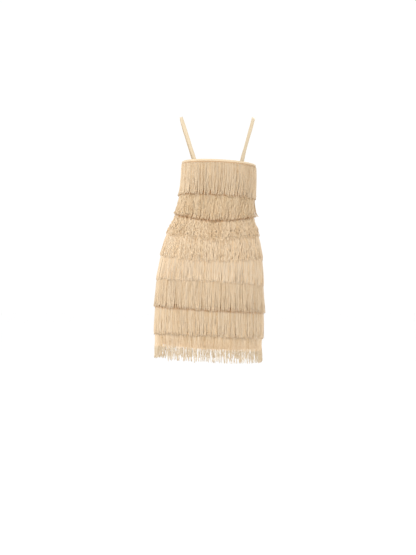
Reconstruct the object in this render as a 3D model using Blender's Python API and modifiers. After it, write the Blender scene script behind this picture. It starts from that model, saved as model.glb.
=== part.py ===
"""Fringed flapper dress: a fitted underdress on two shoulder straps, with rows of fringe sewn round it.

Metres, +Z up. The front of the dress faces -Y and its back +Y. The origin lies midway between the
two places where the straps bear on the shoulders. The dress keeps the hollow form and the easy
stance in which it is worn: the hips sit a little towards +X, and the fringe rows run parallel to
the tilted hips.
"""

import math
from collections import namedtuple

import bpy
import numpy as np

# ---------------------------------------------------------------- driving dimensions (metres)
CLOTH = 0.0015            # underdress wall
SEAM = 0.0003             # clearance at every seam
FRINGE = 0.0024           # wall of a fringe row's reach
OVERLAP = 0.012           # how far a row's tips cover the next row's header
BINDING_HEIGHT = 0.0055   # bound edge, on each face of the cloth
BINDING = 0.0011          # bound edge's tape
BINDING_CLEAR = 0.0075    # top edge to the first fringe header
STRAP_WIDTH = 0.012
STRAP = 0.0015
STRAP_TAIL = 0.014        # strap end sewn inside the top edge
SHOULDER_HALF_SPAN = 0.1247
COLUMNS = 18              # faces across each panel, side seam to side seam
STRAP_STEPS = 26

# Fringe stands off the underdress by these amounts (outer face of the row).
STAND_HEADER = 0.0028
STAND_MIDDLE = 0.0044
STAND_NEXT = 0.0062
STAND_TIPS = 0.0074

# Level sections of the underdress, from the top edge to below the hem.
#   height       level of the section
#   centre       X of the middle of the section
#   half_width   side seam to middle
#   side         Y of the side seams
#   back, front  Y of the cloth at the centre back and centre front
#   square       exponent of the rounded section, 2 = ellipse
Section = namedtuple("Section", "height centre half_width side back front square")
SECTIONS = [
    Section(-0.120, -0.0048, 0.1235, 0.000, 0.095, -0.108, 2.40),
    Section(-0.147, -0.0048, 0.1252, 0.000, 0.100, -0.119, 2.40),
    Section(-0.181, -0.0050, 0.1265, -0.002, 0.102, -0.131, 2.40),
    Section(-0.215, -0.0043, 0.1268, -0.004, 0.100, -0.138, 2.36),
    Section(-0.250, -0.0018, 0.1268, -0.005, 0.094, -0.137, 2.32),
    Section(-0.302, 0.0055, 0.1280, -0.006, 0.082, -0.121, 2.26),
    Section(-0.336, 0.0098, 0.1310, -0.006, 0.077, -0.109, 2.22),
    Section(-0.360, 0.0130, 0.1375, -0.005, 0.079, -0.104, 2.20),
    Section(-0.388, 0.0162, 0.1478, -0.003, 0.086, -0.105, 2.20),
    Section(-0.430, 0.0186, 0.1600, 0.000, 0.101, -0.109, 2.20),
    Section(-0.471, 0.0206, 0.1685, 0.002, 0.114, -0.113, 2.22),
    Section(-0.526, 0.0236, 0.1760, 0.004, 0.125, -0.117, 2.24),
    Section(-0.580, 0.0262, 0.1803, 0.005, 0.130, -0.119, 2.26),
    Section(-0.643, 0.0273, 0.1832, 0.005, 0.129, -0.120, 2.28),
    Section(-0.700, 0.0282, 0.1838, 0.004, 0.125, -0.120, 2.30),
    Section(-0.750, 0.0297, 0.1824, 0.003, 0.121, -0.120, 2.30),
    Section(-0.790, 0.0308, 0.1804, 0.002, 0.119, -0.119, 2.30),
    Section(-0.860, 0.0308, 0.1794, 0.002, 0.117, -0.118, 2.30),
]

# Lines round the dress: heights at the side seams, centre back and centre front, and the rise
# of the line for each metre towards +X.
Line = namedtuple("Line", "side back front tilt")
TOP_EDGE = Line(-0.1604, -0.1540, -0.1520, 0.050)
HEM = Line(-0.7849, -0.7939, -0.7930, 0.056)
TIPS = [
    Line(-0.2763, -0.2710, -0.2730, 0.050),
    Line(-0.3398, -0.3610, -0.3500, 0.032),
    Line(-0.4060, -0.4290, -0.4180, 0.040),
    Line(-0.4860, -0.5020, -0.4930, 0.040),
    Line(-0.5717, -0.5705, -0.5720, 0.060),
    Line(-0.6641, -0.6646, -0.6650, 0.062),
    Line(-0.7561, -0.7519, -0.7540, 0.045),
    Line(-0.8349, -0.8375, -0.8370, 0.047),
]

# Straps. From the back edge over the shoulder to the front edge: Y and height of the strap's
# middle line, and how far it has leaned from its edge (0) to the shoulder (1).
StrapPoint = namedtuple("StrapPoint", "y height lean")
STRAP_PATH = [
    StrapPoint(0.0755, -0.125, 0.17),
    StrapPoint(0.0735, -0.092, 0.39),
    StrapPoint(0.0672, -0.058, 0.63),
    StrapPoint(0.0535, -0.028, 0.83),
    StrapPoint(0.0310, -0.0075, 0.96),
    StrapPoint(0.0000, 0.0000, 1.00),
    StrapPoint(-0.0325, -0.010, 0.95),
    StrapPoint(-0.0565, -0.034, 0.80),
    StrapPoint(-0.0735, -0.068, 0.57),
    StrapPoint(-0.0840, -0.104, 0.32),
    StrapPoint(-0.0880, -0.129, 0.15),
]
# Where each strap meets the edges: side of the dress, X at the back edge and at the front edge.
StrapEnds = namedtuple("StrapEnds", "node sign back_x front_x")
STRAPS = [
    StrapEnds("strap_left", 1.0, 0.0775, 0.0800),
    StrapEnds("strap_right", -1.0, -0.0838, -0.0820),
]

COLOURS = {
    "underdress": (0.790, 0.620, 0.400, 1.0),
    "trim": (0.830, 0.680, 0.470, 1.0),
    "fringe": (0.720, 0.530, 0.320, 1.0),
}


# ---------------------------------------------------------------- the form
def smooth(table, column, height):
    """Value of a table's column at a height, on a smooth curve through its rows."""
    xs = np.array([-row.height for row in table])
    ys = np.array([getattr(row, column) for row in table])
    slope = np.gradient(ys, xs)
    x = min(max(-height, xs[0]), xs[-1])
    k = int(min(max(np.searchsorted(xs, x) - 1, 0), len(xs) - 2))
    h = xs[k + 1] - xs[k]
    t = (x - xs[k]) / h
    return (
        (2 * t**3 - 3 * t**2 + 1) * ys[k]
        + (t**3 - 2 * t**2 + t) * h * slope[k]
        + (3 * t**2 - 2 * t**3) * ys[k + 1]
        + (t**3 - t**2) * h * slope[k + 1]
    )


def half_section(height, side):
    """Dense points from the +X side seam to the -X one, over the back (side 1) or the front (-1)."""
    centre, half, seam, power = (
        smooth(SECTIONS, name, height) for name in ("centre", "half_width", "side", "square")
    )
    reach = smooth(SECTIONS, "back" if side > 0 else "front", height) - seam
    angle = np.linspace(0, math.pi, 181)
    c, s = np.cos(angle), np.sin(angle)
    x = centre + half * np.sign(c) * np.abs(c) ** (2 / power)
    y = seam + reach * np.abs(s) ** (2 / power)
    return x, y


def on_form(u, height, side):
    """Point of the underdress's outer face. u runs 0 to 1 along the cloth, seam to seam."""
    x, y = half_section(height, side)
    run = np.concatenate([[0.0], np.cumsum(np.hypot(np.diff(x), np.diff(y)))])
    at = u * run[-1]
    return np.array([np.interp(at, run, x), np.interp(at, run, y), height])


def outward(u, height, side):
    du, dz = 0.004, 0.002
    low, high = max(u - du, 0.0), min(u + du, 1.0)
    if u < du or u > 1 - du:
        # At a side seam the face looks straight out along X, leaning with the slope.
        across = np.array([0.0, 1.0 if (u < 0.5) == (side > 0) else -1.0, 0.0])
    else:
        across = on_form(high, height, side) - on_form(low, height, side)
    down = on_form(u, height - dz, side) - on_form(u, height + dz, side)
    normal = np.cross(down, across) * side
    if u < du or u > 1 - du:
        normal[1] = 0.0
        normal *= np.sign(normal[0]) * (1.0 if u < 0.5 else -1.0)
    return normal / np.linalg.norm(normal)


def level(line, u, side):
    """Height of a line round the dress at u."""
    middle = line.back if side > 0 else line.front
    base = line.side + (middle - line.side) * math.sin(math.pi * u) ** 1.4
    x = on_form(u, base, side)[0]
    return base + line.tilt * x


def between(upper, lower, share):
    return Line(*(a + (b - a) * share for a, b in zip(upper, lower)))


def lowered(line, drop):
    return Line(line.side - drop, line.back - drop, line.front - drop, line.tilt)


HEADERS = [lowered(TOP_EDGE, BINDING_CLEAR)] + [lowered(tips, -OVERLAP) for tips in TIPS[:-1]]


def row_lines(k):
    """The four lines of fringe row k: header, middle, over the next header, tips."""
    if k < len(TIPS) - 1:
        return [HEADERS[k], between(HEADERS[k], HEADERS[k + 1], 0.5), HEADERS[k + 1], TIPS[k]]
    return [HEADERS[k], between(HEADERS[k], HEM, 0.5), HEM, TIPS[k]]


def point(line, u, side, out=0.0):
    height = level(line, u, side)
    return on_form(u, height, side) + outward(u, height, side) * out


# ---------------------------------------------------------------- making the pieces
def material(name):
    found = bpy.data.materials.get(name)
    if found:
        return found
    made = bpy.data.materials.new(name)
    made.use_nodes = True
    shader = made.node_tree.nodes["Principled BSDF"]
    shader.inputs["Base Color"].default_value = COLOURS[name.split(".")[0]]
    shader.inputs["Roughness"].default_value = 0.55 if name.startswith("fringe") else 0.7
    shader.inputs["Metallic"].default_value = 0.0
    made.diffuse_color = COLOURS[name.split(".")[0]]
    return made


def sheet(name, rows, wall, finish, closed=False, even=False):
    """A cloth piece: a grid of points, rows from top to bottom, given its wall inwards."""
    rows = [np.array(row) for row in rows]
    wide = len(rows[0])
    mesh = bpy.data.meshes.new(name)
    span = wide if closed else wide - 1
    faces = []
    for r in range(len(rows) - 1):
        for c in range(span):
            d = (c + 1) % wide
            faces.append((r * wide + c, (r + 1) * wide + c, (r + 1) * wide + d, r * wide + d))
    mesh.from_pydata([tuple(p) for row in rows for p in row], [], faces)
    mesh.shade_smooth()
    mesh.update()
    piece = bpy.data.objects.new(name, mesh)
    mesh.materials.append(material(finish))
    dress.objects.link(piece)
    thick = piece.modifiers.new("wall", "SOLIDIFY")
    thick.thickness = wall
    thick.offset = -1.0
    thick.use_even_offset = even
    thick.use_rim = True
    return piece


def columns(side):
    """Places across a panel, kept half a seam clearance away from the side seams.

    A narrow turning beside each seam keeps the cut edge square to the cloth.
    """
    edge = SEAM / 2 / 0.34
    turning = 0.004
    places = np.linspace(0, 1, COLUMNS + 1)
    places[0], places[-1] = edge, 1 - edge
    places = np.concatenate([places[:1], [turning], places[1:-1], [1 - turning], places[-1:]])
    return places if side > 0 else places[::-1]


def panel(name, side):
    lines = [TOP_EDGE]
    for k in range(len(TIPS)):
        lines += row_lines(k)[:2]
    lines.append(HEM)
    rows = [[point(line, u, side) for u in columns(side)] for line in lines]
    return sheet(name, rows, CLOTH, "underdress." + name)


def round_places():
    """Places right round the dress, from the +X side seam over the back and round the front."""
    steps = np.linspace(0, 1, COLUMNS + 1)
    return [(u, 1) for u in steps[:-1]] + [(u, -1) for u in steps[::-1][:-1]]


def fringe_row(name, k):
    stands = (STAND_HEADER, STAND_MIDDLE, STAND_NEXT, STAND_TIPS)
    rows = []
    for line, stand in zip(row_lines(k), stands):
        rows.append([point(line, u, side, stand) for u, side in round_places()])
    return sheet(name, rows, FRINGE, "fringe." + name, closed=True)


def binding(name, side):
    """Tape folded over a panel's top edge: down its outer face, over the edge, down its inner face."""
    outer, inner = SEAM, -(CLOTH + SEAM)
    rows = [[], [], [], []]
    for u in columns(side):
        height = level(TOP_EDGE, u, side)
        top = on_form(u, height, side)
        low = on_form(u, height - BINDING_HEIGHT, side)
        out = outward(u, height, side)
        lift = np.array([0.0, 0.0, SEAM])
        # The inner lining of the fold, taken from its inner hem up, over and down.
        rows[0].append(low + out * inner)
        rows[1].append(top + out * inner + lift)
        rows[2].append(top + out * outer + lift)
        rows[3].append(low + out * outer)
    piece = sheet(name, rows, BINDING, "trim." + name, even=True)
    piece.modifiers["wall"].offset = 1.0
    return piece


def spline(points, count):
    """A smooth curve through points, read at even parameter steps."""
    points = np.array(points)
    run = np.concatenate([[0.0], np.cumsum(np.linalg.norm(np.diff(points, axis=0), axis=1))])
    slope = np.gradient(points, run, axis=0)
    made = []
    for at in np.linspace(0, run[-1], count):
        k = int(min(max(np.searchsorted(run, at) - 1, 0), len(run) - 2))
        h = run[k + 1] - run[k]
        t = (at - run[k]) / h
        made.append(
            (2 * t**3 - 3 * t**2 + 1) * points[k]
            + (t**3 - 2 * t**2 + t) * h * slope[k]
            + (3 * t**2 - 2 * t**3) * points[k + 1]
            + (t**3 - t**2) * h * slope[k + 1]
        )
    return np.array(made)


def cloth_lean(x, height, side):
    """Slope of the cloth's section, Y for each metre of X, at this X and height."""
    across, depth = half_section(height, side)
    near = np.interp([-(x + 0.002), -(x - 0.002)], -across, depth)
    return (near[0] - near[1]) / 0.004


def inside_cloth(x, height, side):
    """Y of the strap's inner face where it lies behind the top edge, at this X and height."""
    across, depth = half_section(height, side)
    clear = CLOTH + SEAM + BINDING + SEAM + STRAP + 0.0007
    here = np.interp(-x, -across, depth)
    return here - side * clear * math.hypot(1.0, cloth_lean(x, height, side))


def strap_piece(strap):
    """A flat strap, worked along the line of its inner face from one sewn-in end to the other."""
    path = []
    for side, edge_x, drops in (
        (1, strap.back_x, (STRAP_TAIL, STRAP_TAIL / 2, 0.0)),
        (0, 0.0, ()),
        (-1, strap.front_x, (0.0, STRAP_TAIL / 2, STRAP_TAIL)),
    ):
        if side == 0:
            for row in STRAP_PATH:
                edge = strap.back_x if row.y >= 0 else strap.front_x
                x = edge + (strap.sign * SHOULDER_HALF_SPAN - edge) * row.lean
                path.append(np.array([x, row.y, row.height]))
            continue
        line = TOP_EDGE.back if side > 0 else TOP_EDGE.front
        for drop in drops:
            x = edge_x - strap.sign * math.tan(math.radians(15)) * drop
            height = line + TOP_EDGE.tilt * x - drop
            path.append(np.array([x, inside_cloth(x, height, side), height]))
    middle = spline(path, STRAP_STEPS + 1)
    tangent = np.gradient(middle, axis=0)
    rows = []
    for here, along in zip(middle, tangent):
        along = along / np.linalg.norm(along)
        rise = max(0.0, min(1.0, 1.0 + here[2] / 0.115))
        rise = rise * rise * (3 - 2 * rise)
        facing = 1.0 if here[1] > 0 else -1.0
        # It leaves the edge lying flat to the cloth and turns to lie flat on the shoulder.
        edge_x = strap.back_x if facing > 0 else strap.front_x
        lean = cloth_lean(edge_x, -0.150, facing)
        flat = np.array([-lean * facing, facing, 0.10])
        flat = flat / np.linalg.norm(flat)
        top = np.array([strap.sign * 0.25, here[1] * 6, 1.10])
        away = flat * (1 - rise) + top * rise
        across = np.cross(along, away)
        across = across / np.linalg.norm(across) * STRAP_WIDTH / 2
        pair = [here - across, here + across]
        for p in pair:
            # Behind the top edge the strap follows the curve of the cloth.
            edge = (TOP_EDGE.back if facing > 0 else TOP_EDGE.front) + TOP_EDGE.tilt * p[0]
            near = min(1.0, max(0.0, (edge + 0.024 - p[2]) / 0.018))
            near = near * near * (3 - 2 * near)
            if near > 0:
                p[1] += (inside_cloth(p[0], p[2], facing) - p[1]) * near
        rows.append(pair)
    return sheet(strap.node, rows, STRAP, "trim." + strap.node)


# ---------------------------------------------------------------- the dress
for old in list(bpy.data.objects):
    bpy.data.objects.remove(old, do_unlink=True)

dress = bpy.data.collections.new("flapper_dress")
bpy.context.scene.collection.children.link(dress)

panel("back_panel", 1)
panel("front_panel", -1)
binding("back_binding", 1)
binding("front_binding", -1)
for number in range(len(TIPS) - 1):
    fringe_row(f"fringe_tier_{number + 1}", number)
fringe_row("fringe_hem", len(TIPS) - 1)
for each in STRAPS:
    strap_piece(each)
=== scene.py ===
"""Looks of the fringed flapper dress: underdress, bound edge, straps and eight rows of hanging fringe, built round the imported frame."""

import math
from collections import namedtuple

import bpy
import numpy as np
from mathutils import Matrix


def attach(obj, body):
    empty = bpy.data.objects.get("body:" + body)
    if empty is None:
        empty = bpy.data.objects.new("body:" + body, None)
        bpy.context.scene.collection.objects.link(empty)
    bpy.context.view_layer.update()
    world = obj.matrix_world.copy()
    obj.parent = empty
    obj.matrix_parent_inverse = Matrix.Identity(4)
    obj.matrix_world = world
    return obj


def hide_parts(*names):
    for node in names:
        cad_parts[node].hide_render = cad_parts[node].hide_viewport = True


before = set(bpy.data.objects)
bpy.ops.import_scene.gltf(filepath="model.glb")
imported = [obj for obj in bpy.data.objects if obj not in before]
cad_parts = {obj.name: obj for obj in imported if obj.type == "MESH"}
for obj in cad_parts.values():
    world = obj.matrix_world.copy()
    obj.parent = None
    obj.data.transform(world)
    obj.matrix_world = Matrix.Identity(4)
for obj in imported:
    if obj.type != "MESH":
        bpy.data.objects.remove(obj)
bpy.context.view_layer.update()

# ------------------------------------------------------------------ the form, as in the part
Section = namedtuple("Section", "height centre half_width side back front square")
SECTIONS = [
    Section(-0.120, -0.0048, 0.1235, 0.000, 0.095, -0.108, 2.40),
    Section(-0.147, -0.0048, 0.1252, 0.000, 0.100, -0.119, 2.40),
    Section(-0.181, -0.0050, 0.1265, -0.002, 0.102, -0.131, 2.40),
    Section(-0.215, -0.0043, 0.1268, -0.004, 0.100, -0.138, 2.36),
    Section(-0.250, -0.0018, 0.1268, -0.005, 0.094, -0.137, 2.32),
    Section(-0.302, 0.0055, 0.1280, -0.006, 0.082, -0.121, 2.26),
    Section(-0.336, 0.0098, 0.1310, -0.006, 0.077, -0.109, 2.22),
    Section(-0.360, 0.0130, 0.1375, -0.005, 0.079, -0.104, 2.20),
    Section(-0.388, 0.0162, 0.1478, -0.003, 0.086, -0.105, 2.20),
    Section(-0.430, 0.0186, 0.1600, 0.000, 0.101, -0.109, 2.20),
    Section(-0.471, 0.0206, 0.1685, 0.002, 0.114, -0.113, 2.22),
    Section(-0.526, 0.0236, 0.1760, 0.004, 0.125, -0.117, 2.24),
    Section(-0.580, 0.0262, 0.1803, 0.005, 0.130, -0.119, 2.26),
    Section(-0.643, 0.0273, 0.1832, 0.005, 0.129, -0.120, 2.28),
    Section(-0.700, 0.0282, 0.1838, 0.004, 0.125, -0.120, 2.30),
    Section(-0.750, 0.0297, 0.1824, 0.003, 0.121, -0.120, 2.30),
    Section(-0.790, 0.0308, 0.1804, 0.002, 0.119, -0.119, 2.30),
    Section(-0.860, 0.0308, 0.1794, 0.002, 0.117, -0.118, 2.30),
]
Line = namedtuple("Line", "side back front tilt")
TOP_EDGE = Line(-0.1604, -0.1540, -0.1520, 0.050)
HEM = Line(-0.7849, -0.7939, -0.7930, 0.056)
TIPS = [
    Line(-0.2763, -0.2710, -0.2730, 0.050),
    Line(-0.3398, -0.3610, -0.3500, 0.032),
    Line(-0.4060, -0.4290, -0.4180, 0.040),
    Line(-0.4860, -0.5020, -0.4930, 0.040),
    Line(-0.5717, -0.5705, -0.5720, 0.060),
    Line(-0.6641, -0.6646, -0.6650, 0.062),
    Line(-0.7561, -0.7519, -0.7540, 0.045),
    Line(-0.8349, -0.8375, -0.8370, 0.047),
]
CLOTH, SEAM, BINDING, STRAP = 0.0015, 0.0003, 0.0011, 0.0015
OVERLAP, BINDING_CLEAR, BINDING_HEIGHT = 0.012, 0.0075, 0.0055


def lowered(line, drop):
    return Line(line.side - drop, line.back - drop, line.front - drop, line.tilt)


HEADERS = [lowered(TOP_EDGE, BINDING_CLEAR)] + [lowered(t, -OVERLAP) for t in TIPS[:-1]]


def column(name, heights):
    """A column of SECTIONS at these heights, on a smooth curve."""
    xs = np.array([-row.height for row in SECTIONS])
    ys = np.array([getattr(row, name) for row in SECTIONS])
    slope = np.gradient(ys, xs)
    x = np.clip(-np.asarray(heights, float), xs[0], xs[-1])
    k = np.clip(np.searchsorted(xs, x) - 1, 0, len(xs) - 2)
    h = xs[k + 1] - xs[k]
    t = (x - xs[k]) / h
    return (
        (2 * t**3 - 3 * t**2 + 1) * ys[k]
        + (t**3 - 2 * t**2 + t) * h * slope[k]
        + (3 * t**2 - 2 * t**3) * ys[k + 1]
        + (t**3 - t**2) * h * slope[k + 1]
    )


# The form as a grid over height and over places round it. Place 0 is the +X side seam, 0.5 the
# centre back, 1 the -X side seam and 1.5 the centre front.
LEVELS = np.linspace(-0.115, -0.875, 305)
HALF = 360


def make_grid():
    angle = np.linspace(0, math.pi, 721)
    c, s = np.cos(angle), np.sin(angle)
    grid = np.zeros((len(LEVELS), 2 * HALF, 2))
    halves = np.zeros((len(LEVELS), 2))
    cols = {n: column(n, LEVELS) for n in Section._fields[1:]}
    for i in range(len(LEVELS)):
        power = cols["square"][i]
        x = cols["centre"][i] + cols["half_width"][i] * np.sign(c) * np.abs(c) ** (2 / power)
        for half, name in enumerate(("back", "front")):
            y = cols["side"][i] + (cols[name][i] - cols["side"][i]) * np.abs(s) ** (2 / power)
            run = np.concatenate([[0], np.cumsum(np.hypot(np.diff(x), np.diff(y)))])
            at = np.arange(HALF) / HALF * run[-1]
            if half:
                at = run[-1] - at
            grid[i, half * HALF : (half + 1) * HALF, 0] = np.interp(at, run, x)
            grid[i, half * HALF : (half + 1) * HALF, 1] = np.interp(at, run, y)
            halves[i, half] = run[-1]
    return grid, halves


GRID, HALVES = make_grid()
_du = np.roll(GRID, -2, axis=1) - np.roll(GRID, 2, axis=1)
_dz = np.gradient(GRID, LEVELS, axis=0)
NORMALS = np.stack([_du[..., 1] * -1.0, _du[..., 0], np.zeros(_du.shape[:2])], -1)
NORMALS[..., 2] = -(NORMALS[..., 0] * _dz[..., 0] + NORMALS[..., 1] * _dz[..., 1])
_out = (NORMALS[..., 0] * (GRID[..., 0] - GRID[..., 0].mean(1, keepdims=True))
        + NORMALS[..., 1] * (GRID[..., 1] - GRID[..., 1].mean(1, keepdims=True)))
NORMALS *= np.sign(_out)[..., None]
NORMALS /= np.linalg.norm(NORMALS, axis=-1, keepdims=True)


def read(grid, place, height):
    """grid at these places and heights, between its points."""
    place, height = np.broadcast_arrays(place, height)
    f = np.mod(place, 2.0) * HALF
    g = np.clip((LEVELS[0] - height) / (LEVELS[0] - LEVELS[1]), 0, len(LEVELS) - 1.001)
    i, j = np.floor(g).astype(int), np.floor(f).astype(int) % (2 * HALF)
    a, b = (g - i)[..., None], (f - np.floor(f))[..., None]
    jn = (j + 1) % (2 * HALF)
    return (grid[i, j] * (1 - b) + grid[i, jn] * b) * (1 - a) + (
        grid[i + 1, j] * (1 - b) + grid[i + 1, jn] * b
    ) * a


def half_length(place, height):
    """Length of cloth round the half that this place is on."""
    g = np.clip((LEVELS[0] - height) / (LEVELS[0] - LEVELS[1]), 0, len(LEVELS) - 1.001)
    i = g.astype(int)
    half = (np.mod(place, 2.0) >= 1).astype(int)
    return HALVES[i, half]


# Soft creases and fullness of the cloth: place round the dress, height, length,
# width, depth (below zero for a trough) and the slant of each, as rise for each metre along.
Crease = namedtuple("Crease", "place height length width depth slant")
CREASES = [
    Crease(0.30, -0.335, 0.16, 0.013, -0.0022, 0.34),
    Crease(0.36, -0.362, 0.17, 0.012, 0.0020, 0.30),
    Crease(0.33, -0.392, 0.19, 0.014, -0.0024, 0.26),
    Crease(0.68, -0.340, 0.15, 0.012, -0.0020, -0.32),
    Crease(0.66, -0.370, 0.18, 0.013, 0.0022, -0.27),
    Crease(0.70, -0.404, 0.17, 0.012, -0.0018, -0.30),
    Crease(0.52, -0.430, 0.15, 0.016, 0.0016, 0.02),
    Crease(0.49, -0.318, 0.13, 0.016, 0.0014, -0.03),
    Crease(0.14, -0.300, 0.08, 0.012, -0.0016, 0.15),
    Crease(0.88, -0.308, 0.08, 0.012, 0.0017, -0.20),
    Crease(0.50, -0.480, 0.17, 0.018, -0.0012, 0.05),
    Crease(1.22, -0.300, 0.13, 0.013, -0.0020, -0.24),
    Crease(1.74, -0.305, 0.12, 0.014, -0.0018, 0.28),
    Crease(1.30, -0.345, 0.16, 0.013, 0.0018, -0.16),
    Crease(1.70, -0.350, 0.15, 0.012, 0.0016, 0.20),
    Crease(1.45, -0.420, 0.19, 0.016, -0.0013, 0.04),
    Crease(1.58, -0.470, 0.17, 0.017, 0.0012, -0.05),
]


def relief(place, height):
    """How far the cloth stands off the plain form, out positive."""
    place, height = np.broadcast_arrays(place, height)
    metres = 0.45
    total = np.zeros(place.shape)
    for c in CREASES:
        du = (np.mod(place - c.place + 1.0, 2.0) - 1.0) * metres
        dz = height - c.height - c.slant * du - 0.6 * c.slant * np.abs(du) * du / c.length
        total += c.depth * np.exp(-((dz / c.width) ** 2) - (du / (c.length / 2)) ** 4 * 0.9)
    # The skirt hangs in shallow vertical waves that deepen towards the hem.
    low = np.clip((-0.55 - height) / 0.25, 0, 1) ** 1.5
    total += low * (
        0.0013 * np.sin(place * 17.0 + 0.6)
        + 0.0010 * np.sin(place * 29.5 + 2.1)
        + 0.0006 * np.sin(place * 53.0 + 4.0)
    )
    return total


def on_cloth(place, height, out=0.0):
    """Points of the underdress's outer face, moved out."""
    flat = read(GRID, place, height)
    normal = read(NORMALS, place, height)
    normal = normal / np.linalg.norm(normal, axis=-1, keepdims=True)
    height = np.broadcast_to(height, flat.shape[:-1])
    base = np.concatenate([flat, height[..., None]], -1)
    away = np.asarray(out + relief(place, height))
    return base + normal * away[..., None], normal


def level(line, place):
    """Height of a line round the dress."""
    place = np.asarray(place, float)
    u = np.mod(place, 1.0)
    middle = np.where(np.mod(place, 2.0) < 1, line.back, line.front)
    base = line.side + (middle - line.side) * np.abs(np.sin(np.pi * u)) ** 1.4
    return base + line.tilt * read(GRID, place, base)[..., 0]


def even_places(count, height, phase=0.0):
    """Places evenly spaced along the cloth all round, and its length round."""
    back, front = half_length(0.5, np.array(height)), half_length(1.5, np.array(height))
    at = (np.arange(count) + phase) / count * (back + front)
    return np.where(at < back, at / back, 1 + (at - back) / front), float(back + front)


# ------------------------------------------------------------------ meshes and materials
def build_mesh(name, co, faces, uv, smooth=True):
    """A mesh from arrays: co (n, 3), faces a list of index arrays of one width each, and uv to match."""
    mesh = bpy.data.meshes.new(name)
    sizes = np.concatenate([np.full(len(f), f.shape[1], np.int32) for f in faces])
    loops = np.concatenate([f.ravel() for f in faces]).astype(np.int32)
    mesh.vertices.add(len(co))
    mesh.vertices.foreach_set("co", np.ascontiguousarray(co, np.float32).ravel())
    mesh.loops.add(len(loops))
    mesh.loops.foreach_set("vertex_index", loops)
    mesh.polygons.add(len(sizes))
    mesh.polygons.foreach_set("loop_start", np.concatenate([[0], np.cumsum(sizes)[:-1]]).astype(np.int32))
    mesh.update(calc_edges=True)
    layer = mesh.uv_layers.new(name="OFBake")
    flat = np.concatenate([u.reshape(-1, 2) for u in uv]).astype(np.float32)
    layer.data.foreach_set("uv", flat.ravel())
    mesh.polygons.foreach_set("use_smooth", np.full(len(sizes), smooth))
    mesh.validate()
    mesh.update()
    piece = bpy.data.objects.new(name, mesh)
    bpy.context.scene.collection.objects.link(piece)
    return piece


def wrap_grid(points, closed_u=False):
    """Quads of a grid of points (rows, columns)."""
    rows, cols = points.shape[:2]
    index = np.arange(rows * cols).reshape(rows, cols)
    right = np.roll(index, -1, axis=1)
    last = cols if closed_u else cols - 1
    return np.stack(
        [index[:-1, :last], index[1:, :last], right[1:, :last], right[:-1, :last]], -1
    ).reshape(-1, 4)


def new_material(name, rough, sheen=0.0, specular=0.35):
    made = bpy.data.materials.new(name)
    made.use_nodes = True
    tree = made.node_tree
    shader = tree.nodes["Principled BSDF"]
    shader.inputs["Roughness"].default_value = rough
    shader.inputs["Specular IOR Level"].default_value = specular
    shader.inputs["Sheen Weight"].default_value = sheen
    shader.inputs["Sheen Roughness"].default_value = 0.45
    return made, tree, shader


def node(tree, kind, **settings):
    made = tree.nodes.new(kind)
    for key, value in settings.items():
        setattr(made, key, value)
    return made


def maths(tree, operation, a, b=None, c=None):
    made = node(tree, "ShaderNodeMath", operation=operation)
    for socket, value in zip(made.inputs, (a, b, c)):
        if value is None:
            continue
        if isinstance(value, (int, float)):
            socket.default_value = value
        else:
            tree.links.new(value, socket)
    return made.outputs[0]


def ramp(tree, factor, stops):
    made = node(tree, "ShaderNodeValToRGB")
    band = made.color_ramp
    while len(band.elements) < len(stops):
        band.elements.new(0.5)
    for element, (position, colour) in zip(band.elements, stops):
        element.position = position
        element.color = (*colour, 1.0)
    tree.links.new(factor, made.inputs["Fac"])
    return made.outputs["Color"]


def linear(r, g, b):
    """Linear colour of a display colour given from 0 to 255."""
    return tuple(
        (c / 255 / 12.92 if c / 255 <= 0.04045 else ((c / 255 + 0.055) / 1.055) ** 2.4) for c in (r, g, b)
    )


def times(colour, factor):
    return tuple(min(1.0, c * factor) for c in colour)


STRAND_COLUMNS = 64   # different cords in one fringe row's map
STRAND_BAND = 0.94    # share of the map's width that the cords take, the header tape has the rest


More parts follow.
